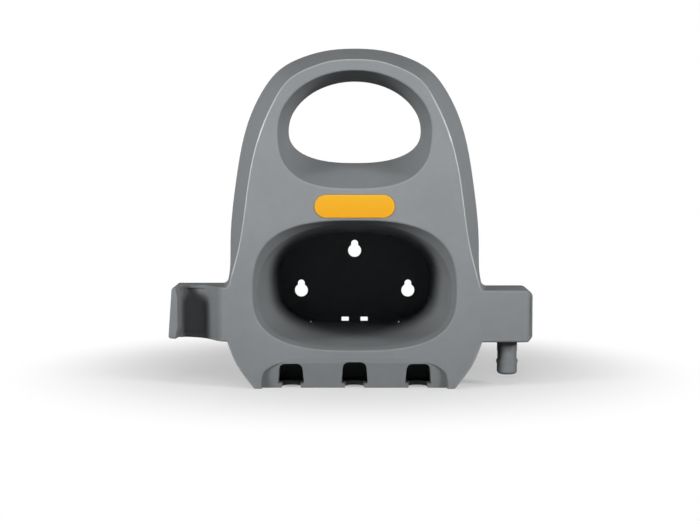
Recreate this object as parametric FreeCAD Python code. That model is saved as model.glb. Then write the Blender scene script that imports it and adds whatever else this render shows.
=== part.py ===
import FreeCAD, Part
import math
import os

Vec = FreeCAD.Vector

# Hose hanger for a house wall, in mm. The wall is the plane y = 0 and the front faces -Y.
# Heights are counted from the base, and the finished pieces are set with the lower screws at z = 0.

# Moulded walls, edges and fits
wall = 2.8
rib = 2.0
edge_round = 1.8
least_round = 0.5
throat_round = 4.0
fit_gap = 0.3
touch = 0.01

# Depths, from the wall forward and from the front face back
stand_off = 150.0
shell_depth = 45.0
cup_floor = 3.0

# Arched front plate: height, then half widths at shares of the height above the arms
arch_height = 296.0
arch_shares = (0.15, 0.42, 0.69, 0.82, 0.91, 0.97)
front_widths = (104.8, 96.5, 83.7, 71.8, 58.8, 36.5)
flare_top = 15.5
rear_widths = (116.6, 111.2, 98.8, 85.5, 69.5, 44.0)
shoulder_width = 113.0
shoulder_flare = 5.5
shoulder_round = 5.2

# Body below the arms, tapering to the base
base_width = 90.5
taper_bulge = 3.5
waist_width = 115.0
base_trim = 0.5

# Directions in which the outline's curves leave and arrive, and how much its sloping corners follow an inset
base_direction = Vec(0.75, 0, 1)
waist_direction = Vec(0.3, 0, 1)
foot_direction = Vec(-0.25, 0, 1)
corner_follow = 0.6

# Right arm, a box with a spigot under it
right_reach = 161.5
right_top = 89.2
right_bottom = 42.2
right_corner = 7.5
right_chamfer = 5.0
right_end_round = 11.0
right_root_drop = 0.0
right_lean = 0.0
arm_draft = 1.5

# Left arm, a trough for the hose end
left_top = 91.6
left_bottom = 45.6
left_corner = 2.5
left_chamfer = 1.5
left_root_drop = 3.0
left_lean = 3.0
trough_gap = 0.6
trough_slope = 31.9
trough_radius = 8.7
trough_depth = 30.0
trough_direction = Vec(-1, 0.55, 0)
trough_pull = 36.0
trough_rim = 2.2
trough_rim_height = 1.8
hollow_start = 3.0
lip_round = 1.4
lip_width = 8.8
lip_ease = 2.6
lip_ease_height = 9.0

# Pocket: mouth on the front face, throat behind its rolled lip, floor against the wall
pocket_bottom = 34.8
pocket_height = 117.5
mouth_width = 92.0
throat_width = 88.0
throat_depth = 9.0
throat_drop = 3.4
throat_rise = 2.4
cup_width = 77.5
cup_top_drop = 15.2
cup_bottom_rise = 10.2
pocket_middle = 52.5
mouth_powers = (2.85, 2.8)
throat_powers = (2.25, 2.8)
cup_powers = (2.5, 2.8)

# Keyholes for three wall screws, and two small windows beside the lowest one
screw_spacing = 110.0
screw_height = 78.4
screw_rise = 41.0
keyhole_head = 6.7
keyhole_neck = 3.55
keyhole_travel = 7.4
window_width = 7.4
window_height = 4.4
window_spacing = 19.6
window_lift = 1.5

# Snap tongues where the cup's walls meet its floor
tongue_place = 39.5
tongue_width = 13.0
slit_width = 2.0
slit_run = 20.0
slit_climb = 7.0
slit_spare = 2.0
low_slit_place = 45.0
slit_bottom = 1.4
barb_height = 1.4
barb_length = 4.5
barb_set = 1.0

# Badge under the handle
badge_gap = 2.1
badge_width = 72.0
badge_height = 20.7
badge_thickness = 1.2
badge_edge = 0.4
badge_recess = 0.5

# Handle hole and its sloping lip
hole_gap = 5.4
handle_band = 10.2
lip_half = 68.8
hole_half = 61.6
hole_top_drop = 4.3
hole_bottom_rise = 24.8
lip_middle = 0.5
hole_middle = 0.39
lip_powers = (2.0, 2.75)
hole_powers = (2.0, 2.4)

# Scoop and three hanging slots at the foot
scoop_half = 84.0
scoop_height = 26.7
scoop_power = 3.6
scoop_depth = 6.5
slot_count = 3
slot_spacing = 57.8
slot_width = 17.4
slot_reach = 24.0
shelf = 4.0
bay_width = 23.8
bay_top_width = 20.6
bay_top = 24.2
outer_bay_drop = 1.6
bay_round = 5.5
bay_depth = 38.0

# Spigot under the right arm
spigot_place = 140.3
spigot_set_back = 21.0
spigot_radius = 9.2
spigot_waist = 8.8
spigot_collar = 9.8
spigot_bottom = 11.0
spigot_step = 32.4
collar_bottom = 21.4
collar_height = 3.0
spigot_round = 3.0

# Rear arch that clips round the cup near the wall
rear_arch_height = 306.0
rear_rim = 16.0
rear_plate_set = 6.0
rear_plate = 3.0
rear_band = 13.5
rear_hole_spread = 7.2
collar_length = 14.0

# Places that follow from the sizes above
front = -stand_off
rear = front + shell_depth
trough_start = shoulder_width + shoulder_round + trough_gap
trough_floor = trough_start + trough_slope
left_reach = trough_floor + trough_radius + lip_width
pocket_top = pocket_bottom + pocket_height
hole_bottom = pocket_top + badge_gap + badge_height + hole_gap
oval_points = 24


def curve(points, first, last):
    """Smooth edge through the points, leaving and arriving along the given directions."""
    spline = Part.BSplineCurve()
    spline.interpolate(Points=points, InitialTangent=first, FinalTangent=last)
    return spline.toShape()


def oval(y, half, middle, top, bottom, powers, grow=0.0):
    """Egg-like outline on the plane y, with one roundness above its widest height and one below."""
    points = []
    for step in range(oval_points):
        angle = 2 * math.pi * step / oval_points
        side, rise = math.cos(angle), math.sin(angle)
        power = powers[0] if rise >= 0 else powers[1]
        reach = (top - middle if rise >= 0 else middle - bottom) + grow
        size = (abs(side) ** power + abs(rise) ** power) ** (-1 / power)
        points.append(Vec((half + grow) * size * side, y, middle + reach * size * rise))
    spline = Part.BSplineCurve()
    spline.interpolate(Points=points, PeriodicFlag=True)
    return Part.Wire(spline.toShape())


def block(x0, x1, y0, y1, z0, z1):
    return Part.makeBox(x1 - x0, y1 - y0, z1 - z0, Vec(x0, y0, z0))


def prism(points, direction):
    """Solid from a flat polygon pushed along a direction."""
    return Part.Face(Part.makePolygon(points + [points[0]])).extrude(direction)


def mirrored(edges):
    return [e.mirror(Vec(0, 0, 0), Vec(1, 0, 0)) for e in reversed(edges)]


def inward(points, distance):
    """The points of a smooth side, moved inward square to it; its ends stay in the outline's planes."""
    moved = [points[0] - Vec(distance, 0, 0)]
    for before, point, after in zip(points, points[1:], points[2:]):
        along = after - before
        square = Vec(along.z, 0, -along.x)
        moved.append(point - square * (distance / square.Length))
    return moved


def arch_side(y, height, foot, foot_width, widths, inset):
    """Right flank of an arch from its foot to the apex."""
    points = [Vec(foot_width, y, foot)]
    for share, half in zip(arch_shares, widths):
        points.append(Vec(half, y, foot + share * (height - foot)))
    points.append(Vec(0, y, height))
    points = inward(points, inset) + [Vec(0, y, height - inset)]
    return curve(points, foot_direction, Vec(-1, 0, 0))


def taper_side(y, top, half_top, half_base, inset):
    """Right side of the body below the arm, from just under the base up."""
    middle = Vec((half_top + half_base) / 2 + taper_bulge - inset, y, top / 2)
    base = Vec(half_base - inset * corner_follow, y, inset - base_trim)
    return curve([base, middle, Vec(half_top - inset, y, top)], base_direction, waist_direction)


def arm_side(y, reach, top, bottom, corner, chamfer, lean, inner, root, turn_round):
    """Outline of an arm from its root on the body below it, up its leaning end and back to the flank."""
    c45 = corner * (1 - math.sqrt(0.5))
    s45 = turn_round * (1 - math.sqrt(0.5))
    end = [
        root,
        Vec(reach - chamfer, y, bottom),
        Vec(reach, y, bottom + chamfer),
        Vec(reach - lean, y, top - corner),
    ]
    edges = [Part.LineSegment(a, b).toShape() for a, b in zip(end, end[1:])]
    corner_end = Vec(reach - lean - corner, y, top)
    edges.append(Part.Arc(end[-1], Vec(reach - lean - c45, y, top - c45), corner_end).toShape())
    turn = Vec(inner + turn_round, y, top)
    edges.append(Part.LineSegment(corner_end, turn).toShape())
    flank = Vec(inner, y, top + turn_round)
    edges.append(Part.Arc(turn, Vec(inner + s45, y, top + s45), flank).toShape())
    return edges


def closed_outline(right_side, left_side, y, half_base, inset):
    """Wire of both sides, joined by a straight line just under the base."""
    half = half_base - inset * corner_follow
    low = inset - base_trim
    base = Part.LineSegment(Vec(-half, y, low), Vec(half, y, low)).toShape()
    return Part.Wire(Part.__sortEdges__([base] + right_side + mirrored(left_side)))


def flat_base(solid, inset):
    """The solid with its base cut flat."""
    return solid.cut(block(-2 * stand_off, 2 * stand_off, front - wall, wall, -stand_off, inset))


def shell_outline(y, height, widths, shoulder, draft, inset):
    """Closed outline of the front shell on the plane y, with both arms."""
    sides = []
    for reach, top, bottom, root_drop, corner, chamfer, lean in (
        (right_reach, right_top, right_bottom, right_root_drop, right_corner, right_chamfer, right_lean),
        (left_reach, left_top, left_bottom, left_root_drop, left_corner, left_chamfer, left_lean),
    ):
        waist = waist_width + draft
        low = bottom - draft + inset
        high = top + draft - inset
        root = Vec(waist - inset, y, low - root_drop)
        small = max(corner - inset, least_round)
        cut = max(chamfer - inset * corner_follow, least_round)
        end = reach + draft - inset
        inner = shoulder - inset
        edges = [taper_side(y, root.z, waist, base_width + draft, inset)]
        edges += arm_side(y, end, high, low, small, cut, lean, inner, root, shoulder_round + inset)
        edges.append(arch_side(y, height, top + draft + shoulder_round, shoulder, widths, inset))
        sides.append(edges)
    return closed_outline(sides[0], sides[1], y, base_width + draft, inset)


def shell_body(inset=0.0):
    """Solid of the front shell's outline, flaring from the front face to the rear edge."""
    near = shell_outline(front, arch_height, front_widths, shoulder_width, 0.0, inset)
    height = arch_height + flare_top
    shoulder = shoulder_width + shoulder_flare
    far = shell_outline(rear, height, rear_widths, shoulder, arm_draft, inset)
    return flat_base(Part.makeLoft([near, far], True, True), inset)


def cup_solid(grow):
    """Pocket tunnel from the front face to the wall; grow sets the outside from the inside."""
    middle = pocket_bottom + pocket_middle
    sections = (
        (front, mouth_width, 0.0, 0.0, mouth_powers),
        (front + throat_depth, throat_width, throat_drop, throat_rise, throat_powers),
        (0.0, cup_width, cup_top_drop, cup_bottom_rise, cup_powers),
    )
    outlines = []
    for y, half, drop, rise, powers in sections:
        outlines.append(oval(y, half, middle, pocket_top - drop, pocket_bottom + rise, powers, grow))
    return Part.makeLoft(outlines, True, True)


def hole_solid(grow):
    """Handle hole, narrowing from its lip on the front face to the rear edge of the shell."""
    top = arch_height - handle_band
    widest = hole_bottom + lip_middle * (top - hole_bottom)
    lip = oval(front, lip_half, widest, top, hole_bottom, lip_powers, grow)
    rear_top = top - hole_top_drop
    rear_bottom = hole_bottom + hole_bottom_rise
    middle = rear_bottom + hole_middle * (rear_top - rear_bottom)
    end = oval(rear, hole_half, middle, rear_top, rear_bottom, hole_powers, grow)
    return Part.makeLoft([lip, end], True, True)


def trough_solid(grow, low=0.0, high=arch_height, raised=0.0, late=0.0):
    """Space of the left arm's trough between two heights: a slope, a round floor and the lip's wall."""
    middle = Vec(-trough_floor, front + trough_depth - raised - trough_radius, low)
    radius = trough_radius + grow
    turn = radius * math.sqrt(0.5)
    start = Vec(grow - trough_start - late, front, low)
    floor = middle + Vec(0, radius, 0)
    far = middle - Vec(radius, 0, 0)
    mouth_far = Vec(far.x, front - wall, low)
    mouth_start = Vec(start.x, front - wall, low)
    edges = [
        curve([start, floor], trough_direction * trough_pull, Vec(-trough_pull, 0, 0)),
        Part.Arc(floor, middle + Vec(-turn, turn, 0), far).toShape(),
        Part.LineSegment(far, mouth_far).toShape(),
        Part.LineSegment(mouth_far, mouth_start).toShape(),
        Part.LineSegment(mouth_start, start).toShape(),
    ]
    return Part.Face(Part.Wire(edges)).extrude(Vec(0, 0, high - low))


def trough_hollow():
    """Deeper middle of the trough, which leaves a low rim above and below it."""
    return trough_solid(0, left_bottom + trough_rim, left_top - trough_rim, late=hollow_start)


def scoop_solid(grow):
    """Shallow scoop at the foot, sloping back towards the base."""
    powers = (scoop_power, scoop_power)
    outline = oval(front - wall, scoop_half, 0, scoop_height, -scoop_height, powers, grow)
    column = Part.Face(outline).extrude(Vec(0, shell_depth, 0))
    slope = scoop_depth / scoop_height
    top = scoop_height + grow
    lean = [
        Vec(-stand_off, front - wall, top),
        Vec(-stand_off, front + grow, top),
        Vec(-stand_off, front + grow + slope * 2 * top, -top),
        Vec(-stand_off, front - wall, -top),
    ]
    return column.common(prism(lean, Vec(2 * stand_off, 0, 0)))


def bay_solid(x, grow):
    """Deep bay behind one hanging slot, arched on top."""
    low = bay_width / 2 + grow
    high = bay_top_width / 2 + grow
    top = bay_top - outer_bay_drop * abs(x) / slot_spacing + grow
    side = [
        Vec(x - low, front - wall, shelf - grow),
        Vec(x + low, front - wall, shelf - grow),
        Vec(x + high, front - wall, top),
        Vec(x - high, front - wall, top),
    ]
    bay = prism(side, Vec(0, wall + bay_depth + grow, 0))
    upper = [e for e in bay.Edges if all(abs(v.Z - top) < touch for v in e.Vertexes)]
    along = [e for e in upper if abs(e.Vertexes[0].X - e.Vertexes[1].X) < touch]
    return bay.makeFillet(bay_round + grow, along)


def slot_solid(x):
    """Narrow slot through the shelf, open to the front with a round end."""
    half = slot_width / 2
    end = front + slot_reach - half
    run = block(x - half, x + half, front - wall, end, -wall, 2 * shelf)
    return run.fuse(Part.makeCylinder(half, 2 * shelf + wall, Vec(x, end, -wall)))


def slot_places():
    return [(i - (slot_count - 1) / 2) * slot_spacing for i in range(slot_count)]


def keyhole(x, z):
    """Keyhole through the cup's floor: the screw head passes the circle and hangs in the neck."""
    start = -2 * cup_floor
    run = 3 * cup_floor
    neck_top = z + keyhole_travel
    head = Part.makeCylinder(keyhole_head, run, Vec(x, start, z), Vec(0, 1, 0))
    neck_end = Part.makeCylinder(keyhole_neck, run, Vec(x, start, neck_top), Vec(0, 1, 0))
    neck = block(x - keyhole_neck, x + keyhole_neck, start, start + run, z, neck_top)
    return head.fuse([neck, neck_end])


def screw_places():
    half = screw_spacing / 2
    return [(-half, screw_height), (half, screw_height), (0, screw_height + screw_rise)]


def floor_windows():
    low = pocket_bottom + cup_bottom_rise + window_lift
    half = window_width / 2
    windows = []
    for x in (-window_spacing / 2, window_spacing / 2):
        windows.append(block(x - half, x + half, -2 * cup_floor, cup_floor, low, low + window_height))
    return windows


def tongue_slits():
    """Slits in the cup's walls that end as grooves in its floor, and leave springy tongues."""
    ceiling = pocket_top - cup_top_drop
    ground = pocket_bottom + cup_bottom_rise
    half = slit_width / 2
    upper = (ceiling - slit_climb, ceiling + 2 * wall + slit_spare)
    lower = (ground - wall / 2, ground + slit_climb)
    places = (
        (tongue_place - tongue_width / 2, upper),
        (tongue_place + tongue_width / 2, upper),
        (low_slit_place, lower),
    )
    slits = []
    for side in (-1, 1):
        for place, (low, high) in places:
            x = side * place
            slits.append(block(x - half, x + half, -slit_run, -slit_bottom, low, high))
    return slits


def spigot():
    """Stepped round spigot under the right arm, cored from above."""
    top = right_bottom + wall
    profile = [
        (0, top),
        (spigot_radius, top),
        (spigot_radius, spigot_step),
        (spigot_waist, spigot_step),
        (spigot_waist, collar_bottom + collar_height),
        (spigot_collar, collar_bottom + collar_height),
        (spigot_collar, collar_bottom),
        (spigot_radius, collar_bottom),
        (spigot_radius, spigot_bottom),
        (0, spigot_bottom),
    ]
    points = [Vec(r, 0, z) for r, z in profile]
    solid = Part.Face(Part.makePolygon(points + [points[0]])).revolve(Vec(0, 0, 0), Vec(0, 0, 1), 360)
    ends = [e for e in solid.Edges if e.BoundBox.ZMax < spigot_bottom + touch and e.Closed]
    solid = solid.makeFillet(spigot_round, ends)
    solid.translate(Vec(spigot_place, front + spigot_set_back, 0))
    return solid


def spigot_core():
    radius = spigot_waist - wall
    low = spigot_bottom + wall
    place = Vec(spigot_place, front + spigot_set_back, low)
    return Part.makeCylinder(radius, right_bottom + 2 * wall - low, place)


def shell_ribs():
    """Plates that stiffen the hollow back of the shell, from the cup up to the lip and out into the arms."""
    back = rear - 2 * wall
    middle = pocket_bottom + pocket_middle
    ribs = []
    for side in (-1, 1):
        x = side * badge_width / 2
        ribs.append(block(x - rib / 2, x + rib / 2, front, back, middle, middle + pocket_height))
    arms = ((right_reach, right_top, right_bottom), (-left_reach, left_top, left_bottom))
    for reach, top, bottom in arms:
        inner, outer = sorted((math.copysign(throat_width, reach), reach))
        for z in (top - wall / 2, (top + bottom) / 2):
            ribs.append(block(inner, outer, front, back, z - rib / 2, z + rib / 2))
    return ribs


def shell_cavity():
    """Hollow behind the front face, one wall inside the outline and round all that stands in it."""
    face = block(-2 * stand_off, 2 * stand_off, front - wall, front + wall, 0, 2 * arch_height)
    hollow = shell_body(wall).cut(face)
    keep = [cup_solid(wall), hole_solid(wall), trough_solid(wall), scoop_solid(wall)]
    keep += [bay_solid(x, wall) for x in slot_places()]
    return hollow.cut(keep + shell_ribs())


def lip_ease_cuts():
    """Lead-ins at both ends of the trough's lip, where the hose goes in."""
    inner = -(left_reach - lip_width)
    cuts = []
    climb = lip_ease_height + arm_draft
    for end, way in ((left_top + arm_draft, -1), (left_bottom - arm_draft, 1)):
        points = [
            Vec(inner + wall, front - wall, end),
            Vec(inner - lip_ease, front - wall, end),
            Vec(inner, front - wall, end + way * climb),
            Vec(inner + wall, front - wall, end + way * climb),
        ]
        cuts.append(prism(points, Vec(0, wall + trough_depth - trough_radius, 0)))
    return cuts


def end_rounding():
    """Corner taken off the right arm's outer end, seen from above."""
    r = right_end_round
    end = right_reach + arm_draft * r / shell_depth
    x, y = end - r, front + r
    corner = block(x, end + r, front - r, y, 0, arch_height)
    return corner.cut(Part.makeCylinder(r, arch_height, Vec(x, y, 0)))


def stadium(y, half_width, half_height, middle, thick):
    """Flat bar with round ends, on the plane y and growing towards the wall."""
    side = half_width - half_height
    low, high = middle - half_height, middle + half_height
    edges = [
        Part.LineSegment(Vec(-side, y, low), Vec(side, y, low)).toShape(),
        Part.Arc(Vec(side, y, low), Vec(half_width, y, middle), Vec(side, y, high)).toShape(),
        Part.LineSegment(Vec(side, y, high), Vec(-side, y, high)).toShape(),
        Part.Arc(Vec(-side, y, high), Vec(-half_width, y, middle), Vec(-side, y, low)).toShape(),
    ]
    return Part.Face(Part.Wire(edges)).extrude(Vec(0, thick, 0))


def badge_bar(y, gap, thick):
    """The badge's outline with a gap round it, pushed from the plane y towards the wall."""
    middle = pocket_top + badge_gap + badge_height / 2
    return stadium(y, badge_width / 2 + gap, badge_height / 2 + gap, middle, thick)


def badge():
    """Thin plate with round ends and a bevelled front edge, seated in a recess of the front face."""
    plate = badge_bar(front + badge_recess - badge_thickness, 0.0, badge_thickness)
    return plate.makeChamfer(badge_edge, [e for e in plate.Edges if e.BoundBox.YMax < front])


def badge_seat():
    return badge_bar(front - wall, fit_gap, wall + badge_recess)


def barbs():
    """Ledges on the cup's tongues, which hold the rear arch against the taper."""
    half = (tongue_width - slit_width) / 2
    low = pocket_bottom + pocket_middle
    raised = cup_solid(wall + barb_height).cut(cup_solid(wall / 2))
    solids = []
    for x in (-tongue_place, tongue_place):
        place = block(x - half, x + half, -barb_length, -barb_set, low, pocket_top)
        solids.append(raised.common(place))
    return solids


def on_front(edge):
    return edge.BoundBox.YMax < front + touch and edge.BoundBox.ZMax > edge_round


def round_edges(solid):
    """Rounds the rim of the front face, the lips of the trough and handle, the pocket's mouth and throat."""
    rim = [e for e in solid.Edges if on_front(e)]
    solid = solid.makeFillet(edge_round, [e for e in rim if e.BoundBox.XMax > -trough_floor])
    lip = [e for e in solid.Edges if on_front(e) and e.BoundBox.XMax < -trough_floor]
    solid = solid.makeFillet(lip_round, lip)
    throat_y = front + throat_depth
    throat = [e for e in solid.Edges if e.Closed and abs(e.BoundBox.YMax - throat_y) < touch]
    return solid.makeFillet(throat_round, throat)


def front_shell():
    """One moulding: front plate with arms, flanks, pocket tunnel, spigot and hanging slots."""
    space = block(-stand_off, stand_off, front - wall, -cup_floor, 0, arch_height)
    inside = cup_solid(0).common(space)
    trough = trough_solid(0, raised=trough_rim_height)
    shell = shell_body().cut([end_rounding(), trough] + lip_ease_cuts()).fuse(cup_solid(wall))
    shell = round_edges(shell.cut([inside, hole_solid(0), scoop_solid(0)]))
    shell = shell.cut(shell_cavity()).fuse([spigot()] + barbs())
    cuts = [trough, trough_hollow(), spigot_core(), badge_seat()]
    cuts += [bay_solid(x, 0) for x in slot_places()]
    cuts += [slot_solid(x) for x in slot_places()]
    cuts += [keyhole(x, z) for x, z in screw_places()]
    cuts += floor_windows() + tongue_slits()
    return shell.cut(cuts)


def rear_outline(y, inset):
    """Outline of the rear arch: the front plate's arch and taper, without arms."""
    foot = right_top + shoulder_round
    waist = Vec(waist_width - inset, y, right_bottom)
    shoulder = Vec(shoulder_width - inset, y, foot)
    rise = foot - right_bottom
    side = [
        taper_side(y, right_bottom, waist_width, base_width, inset),
        curve([waist, shoulder], waist_direction * rise, foot_direction * rise),
        arch_side(y, rear_arch_height, foot, shoulder_width, front_widths, inset),
    ]
    return closed_outline(side, side, y, base_width, inset)


def rear_hole(y, grow):
    top = rear_arch_height - rear_band
    bottom = hole_bottom + hole_bottom_rise
    middle = bottom + hole_middle * (top - bottom)
    return oval(y, hole_half + rear_hole_spread, middle, top, bottom, hole_powers, grow)


def rear_arch():
    """Arched plate with a rim, and a collar that slides onto the cup's taper."""
    start = -rear_rim
    depth = Vec(0, rear_rim, 0)
    outside = flat_base(Part.Face(rear_outline(start, 0)).extrude(depth), 0)
    inside = flat_base(Part.Face(rear_outline(start, wall)).extrude(depth), wall)
    plate_back = -rear_plate_set
    plate_front = plate_back - rear_plate
    plate = block(-stand_off, stand_off, plate_front, plate_back, 0, 2 * arch_height)
    hole_rim = Part.Face(rear_hole(start, wall)).extrude(depth)
    hollow = inside.cut([plate, hole_rim])
    reach = block(-stand_off, stand_off, plate_front - collar_length, plate_back, 0, arch_height)
    collar = cup_solid(wall + fit_gap + wall).common(reach)
    opening = Part.Face(rear_hole(start, 0)).extrude(depth)
    return outside.cut(hollow).fuse(collar).cut([opening, cup_solid(wall + fit_gap)])


def save(shape, name):
    shape.translate(Vec(0, 0, -screw_height))
    print(name, shape.isValid(), len(shape.Solids), round(shape.Volume), shape.BoundBox)
    shape.exportStep(os.path.join("parts", name + ".step"))


def main():
    os.makedirs("parts", exist_ok=True)
    save(front_shell(), "front_shell")
    save(rear_arch(), "rear_arch")
    save(badge(), "badge")


main()
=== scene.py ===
import math

import bpy
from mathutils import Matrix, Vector


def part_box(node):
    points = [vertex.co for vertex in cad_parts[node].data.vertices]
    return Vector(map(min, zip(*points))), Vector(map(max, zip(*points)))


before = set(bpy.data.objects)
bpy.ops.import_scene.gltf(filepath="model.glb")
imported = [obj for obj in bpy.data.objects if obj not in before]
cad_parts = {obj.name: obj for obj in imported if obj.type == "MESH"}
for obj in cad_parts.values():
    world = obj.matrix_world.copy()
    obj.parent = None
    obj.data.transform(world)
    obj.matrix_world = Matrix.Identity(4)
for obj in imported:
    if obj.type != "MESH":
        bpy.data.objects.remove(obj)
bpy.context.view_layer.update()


# Front shell: one injection moulding in grey polypropylene, with the arched face, the handle, both arms,
# the deep pocket and the hanging slots. Its face carries a fine spark-eroded grain. Its colour has painted
# shade, darker on the steep walls and deep behind the face, and a painted highlight, paler on the outer
# rims, which are also smoother and glossy.
class Reading:
    """One socket of a material's nodes. Arithmetic with it adds the Math nodes that work it out."""

    def __init__(self, tree, socket=None):
        self.tree = tree
        self.socket = socket

    def node(self, kind, settings, links, out=0):
        """Adds any node: its settings first, then a value or a link for each of its sockets."""
        made = self.tree.nodes.new(kind)
        for name, value in settings.items():
            if name == "stops":
                for stop in list(made.color_ramp.elements)[1:]:
                    made.color_ramp.elements.remove(stop)
                made.color_ramp.elements[0].position = value[0][0]
                made.color_ramp.elements[0].color = value[0][1]
                for place, colour in value[1:]:
                    made.color_ramp.elements.new(place).color = colour
            else:
                setattr(made, name, value)
        for name, value in links.items():
            if isinstance(value, Reading):
                self.tree.links.new(value.socket, made.inputs[name])
            else:
                made.inputs[name].default_value = value
        return Reading(self.tree, made.outputs[out])

    def sum(self, operation, first, second=0.0):
        return self.node("ShaderNodeMath", {"operation": operation}, {0: first, 1: second})

    def __add__(self, other):
        return self.sum("ADD", self, other)

    def __radd__(self, other):
        return self.sum("ADD", other, self)

    def __sub__(self, other):
        return self.sum("SUBTRACT", self, other)

    def __rsub__(self, other):
        return self.sum("SUBTRACT", other, self)

    def __mul__(self, other):
        return self.sum("MULTIPLY", self, other)

    def __rmul__(self, other):
        return self.sum("MULTIPLY", other, self)

    def along(self, axis):
        """One of the three numbers of a place or a direction."""
        return self.node("ShaderNodeSeparateXYZ", {}, {0: self}, axis)

    def between(self, low, high):
        """0 below low, 1 above high, and smooth from one to the other."""
        links = {"Value": self, "From Min": low, "From Max": high}
        return self.node("ShaderNodeMapRange", {"interpolation_type": "SMOOTHSTEP"}, links)

    def blend(self, first, second):
        """The first colour where this is 0, and the second where it is 1."""
        settings = {"data_type": "RGBA"}
        return self.node("ShaderNodeMix", settings, {0: self, 6: first, 7: second}, 2)

    def cloud(self, place, size, detail=3.0, rough=0.5):
        """Noise whose lumps are about size metres wide, as a number round a half."""
        links = {"Vector": place, "Scale": 1 / size, "Detail": detail, "Roughness": rough}
        return self.node("ShaderNodeTexNoise", {}, links)


def plain_finish(name):
    """A bare material with its shader and output, ready for the readings that feed it."""
    finish = bpy.data.materials.new(name)
    finish.use_nodes = True
    shader = finish.node_tree.nodes["Principled BSDF"]
    start = Reading(finish.node_tree)
    place = start.node("ShaderNodeTexCoord", {}, {}, "Object")
    return finish, shader, start, place


def feed(shader, name, reading):
    shader.id_data.links.new(reading.socket, shader.inputs[name])


def outer_rims(start, place, slope, face):
    """1 on the small roundings round the face where it meets the outside, less on those round its holes."""
    ahead = 0 - slope.along("Y")
    rounding = ahead.between(0.55, 0.75) * (1 - ahead.between(0.95, 0.99))
    at_face = 1 - place.along("Y").between(face + 0.0006, face + 0.0011)
    between_holes = (0, face, 0.085)
    spoke = start.node("ShaderNodeVectorMath", {"operation": "SUBTRACT"}, {0: place, 1: between_holes})
    outward = start.node("ShaderNodeVectorMath", {"operation": "DOT_PRODUCT"}, {0: spoke, 1: slope}, "Value")
    off_the_arms = 1 - start.sum("ABSOLUTE", place.along("X")).between(0.111, 0.116)
    return rounding * at_face * (outward.between(0.017, 0.027) * off_the_arms * 0.88 + 0.12)


def grey_moulding(name, deep, plain, pale, grain_depth, face):
    """Cloudy grey plastic with flow marks and specks. Its colour has painted shade on the steep walls and
    deeper than the face at the depth given, and a painted highlight on the outer rims.
    """
    finish, shader, start, place = plain_finish(name)
    slope = start.node("ShaderNodeTexCoord", {}, {}, "Normal")
    pigment = start.cloud(place, 0.070, 4.0, 0.6)
    flow = start.cloud(place, 0.012, 6.0, 0.65)
    grain = start.cloud(place, 0.00055, 2.0, 0.6)
    specks = start.cloud(place, 0.0016, 1.0, 0.5).between(0.70, 0.80)
    # Mask for painted shade: 1 on forward-facing surfaces within 12 to 40 mm of the face, 0 on steep walls
    # and deeper in.
    near_face = 1 - place.along("Y").between(face + 0.012, face + 0.040)
    unshaded_face = (0 - slope.along("Y")).between(0.60, 0.92) * near_face
    # Painted highlight: the outer rims get a paler colour, besides a lower roughness and a gloss coat.
    painted_rim_highlight = outer_rims(start, place, slope, face) * (flow * 0.5 + 0.75)

    colour = (pigment * 0.6 + flow * 0.4).between(0.35, 0.65).blend(deep, plain)
    colour = (specks * 0.35).blend(colour, pale)
    # Painted shade: the colour is darkened to 71 % on the steep walls and behind the face.
    shade = {0: colour, "Scale": unshaded_face * 0.29 + 0.71}
    colour = start.node("ShaderNodeVectorMath", {"operation": "SCALE"}, shade)
    # Painted highlight: the rims' colour is blended most of the way to the pale colour, which also colours
    # the specks.
    colour = (painted_rim_highlight * 0.8).blend(colour, pale)
    feed(shader, "Base Color", colour)
    feed(shader, "Roughness", flow * 0.10 + grain * 0.12 + 0.50 - painted_rim_highlight * 0.15)
    feed(shader, "Coat Weight", painted_rim_highlight * 0.8)
    relief = grain * (1 - painted_rim_highlight * 0.7) + flow * 0.5
    bump = {"Strength": 0.55, "Distance": grain_depth, "Height": relief}
    feed(shader, "Normal", start.node("ShaderNodeBump", {}, bump))
    shader.inputs["Specular IOR Level"].default_value = 0.015
    shader.inputs["Coat Roughness"].default_value = 0.32
    return finish


def dress(node, finish):
    """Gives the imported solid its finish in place."""
    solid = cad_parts[node]
    if not solid.material_slots:
        solid.data.materials.append(finish)
    for place in solid.material_slots:
        place.material = finish


shell_grey = grey_moulding(
    "grey shell plastic",
    (0.278, 0.292, 0.302, 1),
    (0.300, 0.314, 0.324, 1),
    (0.400, 0.412, 0.420, 1),
    0.00010,
    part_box("front_shell")[0].y,
)
dress("front_shell", shell_grey)


# Rear arch: a second moulding of the same grey plastic, which clips round the pocket next to the wall.
# It comes out of another tool, and is a shade deeper and a little smoother than the front shell.
# Its steep walls and outer rims get the same painted shade and painted highlight as the front shell.
arch_grey = grey_moulding(
    "grey arch plastic",
    (0.255, 0.270, 0.282, 1),
    (0.280, 0.295, 0.307, 1),
    (0.360, 0.372, 0.382, 1),
    0.00007,
    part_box("rear_arch")[0].y,
)
dress("rear_arch", arch_grey)


# Badge: a thin amber plate with round ends, pressed into its seat under the handle. It is moulded in
# gloss plastic, warmer at the foot than at the top, and it is bare.
def amber_gloss(name, top, foot):
    finish, shader, start, place = plain_finish(name)
    low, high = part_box("badge")
    lift = place.along("Z").between(low.z, high.z)
    haze = start.cloud(place, 0.009, 4.0, 0.6)
    peel = start.cloud(place, 0.0012, 2.0, 0.5)
    colour = (lift * 0.8 + haze * 0.2).blend(foot, top)
    feed(shader, "Base Color", colour)
    feed(shader, "Roughness", haze * 0.10 + 0.18)
    ripple = {"Strength": 0.25, "Distance": 0.00004, "Height": peel}
    feed(shader, "Normal", start.node("ShaderNodeBump", {}, ripple))
    shader.inputs["Coat Weight"].default_value = 0.35
    shader.inputs["Coat Roughness"].default_value = 0.12
    return finish


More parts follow.
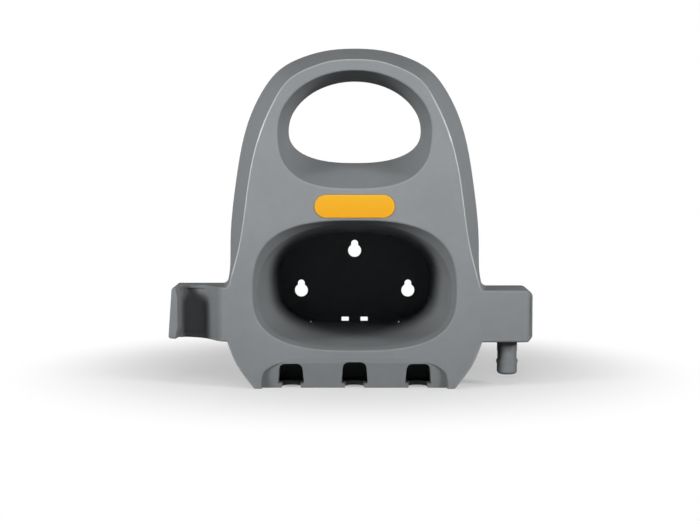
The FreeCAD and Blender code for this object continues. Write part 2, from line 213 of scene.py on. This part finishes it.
badge_amber = amber_gloss("amber badge plastic", (0.97, 0.50, 0.030, 1), (0.95, 0.43, 0.020, 1))
dress("badge", badge_amber)


# Stand: a pale floor just under the base, which keeps the shadow and runs out to clean white. The room
# is white to the eye, and a dark cloth stands behind the camera, so that the deep pocket stays in shade.
foot_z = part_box("front_shell")[0].z


def seen_directly(start):
    """1 for what the camera sees, in a mirror or through glass too, and 0 for light on the object."""
    camera = start.node("ShaderNodeLightPath", {}, {}, "Is Camera Ray")
    mirror = start.node("ShaderNodeLightPath", {}, {}, "Is Glossy Ray")
    glass = start.node("ShaderNodeLightPath", {}, {}, "Is Transmission Ray")
    return start.sum("MAXIMUM", start.sum("MAXIMUM", camera, mirror), glass)


def sheet_of(name, size, place, tilt):
    bpy.ops.mesh.primitive_plane_add(size=size, location=place, rotation=tilt)
    made = bpy.context.object
    made.name = name
    return made


floor_finish, floor_shader, start, place = plain_finish("pale floor")
reach = start.node("ShaderNodeVectorMath", {"operation": "LENGTH"}, {0: place}, "Value")
fade = reach.between(0.12, 0.36)
seen = seen_directly(start)
feed(floor_shader, "Base Color", seen.blend((0.22, 0.22, 0.22, 1), (0.90, 0.90, 0.90, 1)))
floor_shader.inputs["Roughness"].default_value = 0.9
floor_shader.inputs["Specular IOR Level"].default_value = 0.1
white = start.node("ShaderNodeEmission", {}, {"Color": (1, 1, 1, 1), "Strength": 1.0})
lit = Reading(start.tree, floor_shader.outputs[0])
mixed = start.node("ShaderNodeMixShader", {}, {0: (fade * 0.65 + 0.35) * seen, 1: lit, 2: white})
start.tree.links.new(mixed.socket, start.tree.nodes["Material Output"].inputs["Surface"])
floor = sheet_of("floor", 8.0, (0, 0, foot_z - 0.0002), (0, 0, 0))
floor.data.materials.append(floor_finish)

cloth_finish, cloth_shader, start, place = plain_finish("dark cloth")
cloth_shader.inputs["Base Color"].default_value = (0.03, 0.03, 0.03, 1)
cloth_shader.inputs["Roughness"].default_value = 1.0
cloth_shader.inputs["Specular IOR Level"].default_value = 0.0
cloth = sheet_of("cloth behind the camera", 5.0, (0, -2.1, 0.2), (math.radians(90), 0, 0))
cloth.data.materials.append(cloth_finish)
cloth.visible_camera = False

room = bpy.data.worlds.new("white room")
bpy.context.scene.world = room
room.use_nodes = True
start = Reading(room.node_tree)
room.node_tree.nodes.clear()
soft = start.node("ShaderNodeBackground", {}, {"Color": (1, 1, 1, 1), "Strength": 0.02})
bright = start.node("ShaderNodeBackground", {}, {"Color": (1, 1, 1, 1), "Strength": 1.0})
mixed = start.node("ShaderNodeMixShader", {}, {0: seen_directly(start), 1: soft, 2: bright})
room_end = room.node_tree.nodes.new("ShaderNodeOutputWorld")
room.node_tree.links.new(mixed.socket, room_end.inputs["Surface"])


# Studio lamps: a soft box with a grid far out on each side, so that the face is even, its rims catch the
# light and the pocket stays dark, a weak one overhead, and one low behind that lights the back.
def soft_box(name, turn, lift, distance, size, watts):
    """A square lamp with a grid, seen from the badge at a turn to the right and a lift, in degrees."""
    side, rise = math.radians(turn), math.radians(lift)
    aim = Vector((-math.sin(side) * math.cos(rise), math.cos(side) * math.cos(rise), -math.sin(rise)))
    lamp = bpy.data.lights.new(name, "AREA")
    lamp.shape = "SQUARE"
    lamp.size = size
    lamp.energy = watts
    lamp.spread = math.radians(44)  # how wide the grid lets the light out
    stand = bpy.data.objects.new(name, lamp)
    bpy.context.scene.collection.objects.link(stand)
    stand.location = Vector((0, -0.10, 0.120)) - aim * distance
    stand.rotation_euler = aim.to_track_quat("-Z", "Y").to_euler()
    return stand


soft_box("right", 57, 14, 1.2, 0.36, 0.86)
soft_box("left", -57, 14, 1.2, 0.36, 0.86)
soft_box("overhead", 0, 40, 1.2, 0.36, 0.14)
behind = soft_box("behind", 180, -3, 1.6, 0.20, 1.5)
behind.visible_glossy = False


# Camera: level with the badge and one metre in front of the face, tipped down as the photograph's was.
sight = bpy.data.cameras.new("front camera")
sight.sensor_width = 36.0
sight.lens = 57.27
camera = bpy.data.objects.new("front camera", sight)
bpy.context.scene.collection.objects.link(camera)
camera.location = (0.0, -1.150, 0.0866)
camera.rotation_euler = (math.radians(90 - 2.793), 0.0, math.radians(0.238))
bpy.context.scene.camera = camera

bpy.context.scene.view_settings.view_transform = "Standard"
